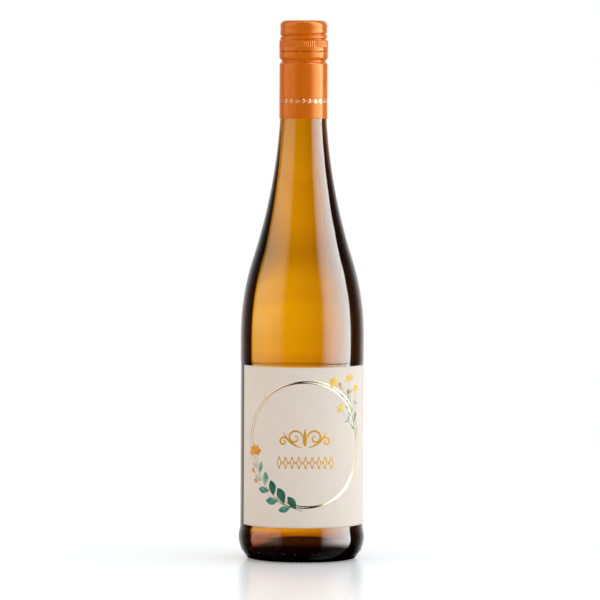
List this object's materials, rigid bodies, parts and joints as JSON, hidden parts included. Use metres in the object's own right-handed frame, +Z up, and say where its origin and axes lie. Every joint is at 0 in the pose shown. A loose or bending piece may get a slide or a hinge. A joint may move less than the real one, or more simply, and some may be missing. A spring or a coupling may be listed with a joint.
{
  "type": "wine bottle",
  "caption": "Tall slender wine bottle of amber glass with long sloping shoulders, filled, with a long-skirt metal screw cap and a wrap-round paper label.",
  "frame": {"origin": "centre of the ring that the bottle stands on", "axes": "+Z up along the bottle's axis, -Y towards the front of the label, +X to the right of someone facing the label"},
  "size_m": [0.0772, 0.0772, 0.33],
  "materials": {
    "amber_glass": "polished",
    "wine": "gloss",
    "cap_metal": "satin",
    "label_paper": "matte"
  },
  "bodies": {
    "root": {"bottle": "amber_glass", "wine": "wine", "screw_cap": "cap_metal", "label": "label_paper"}
  },
  "joints": []
}
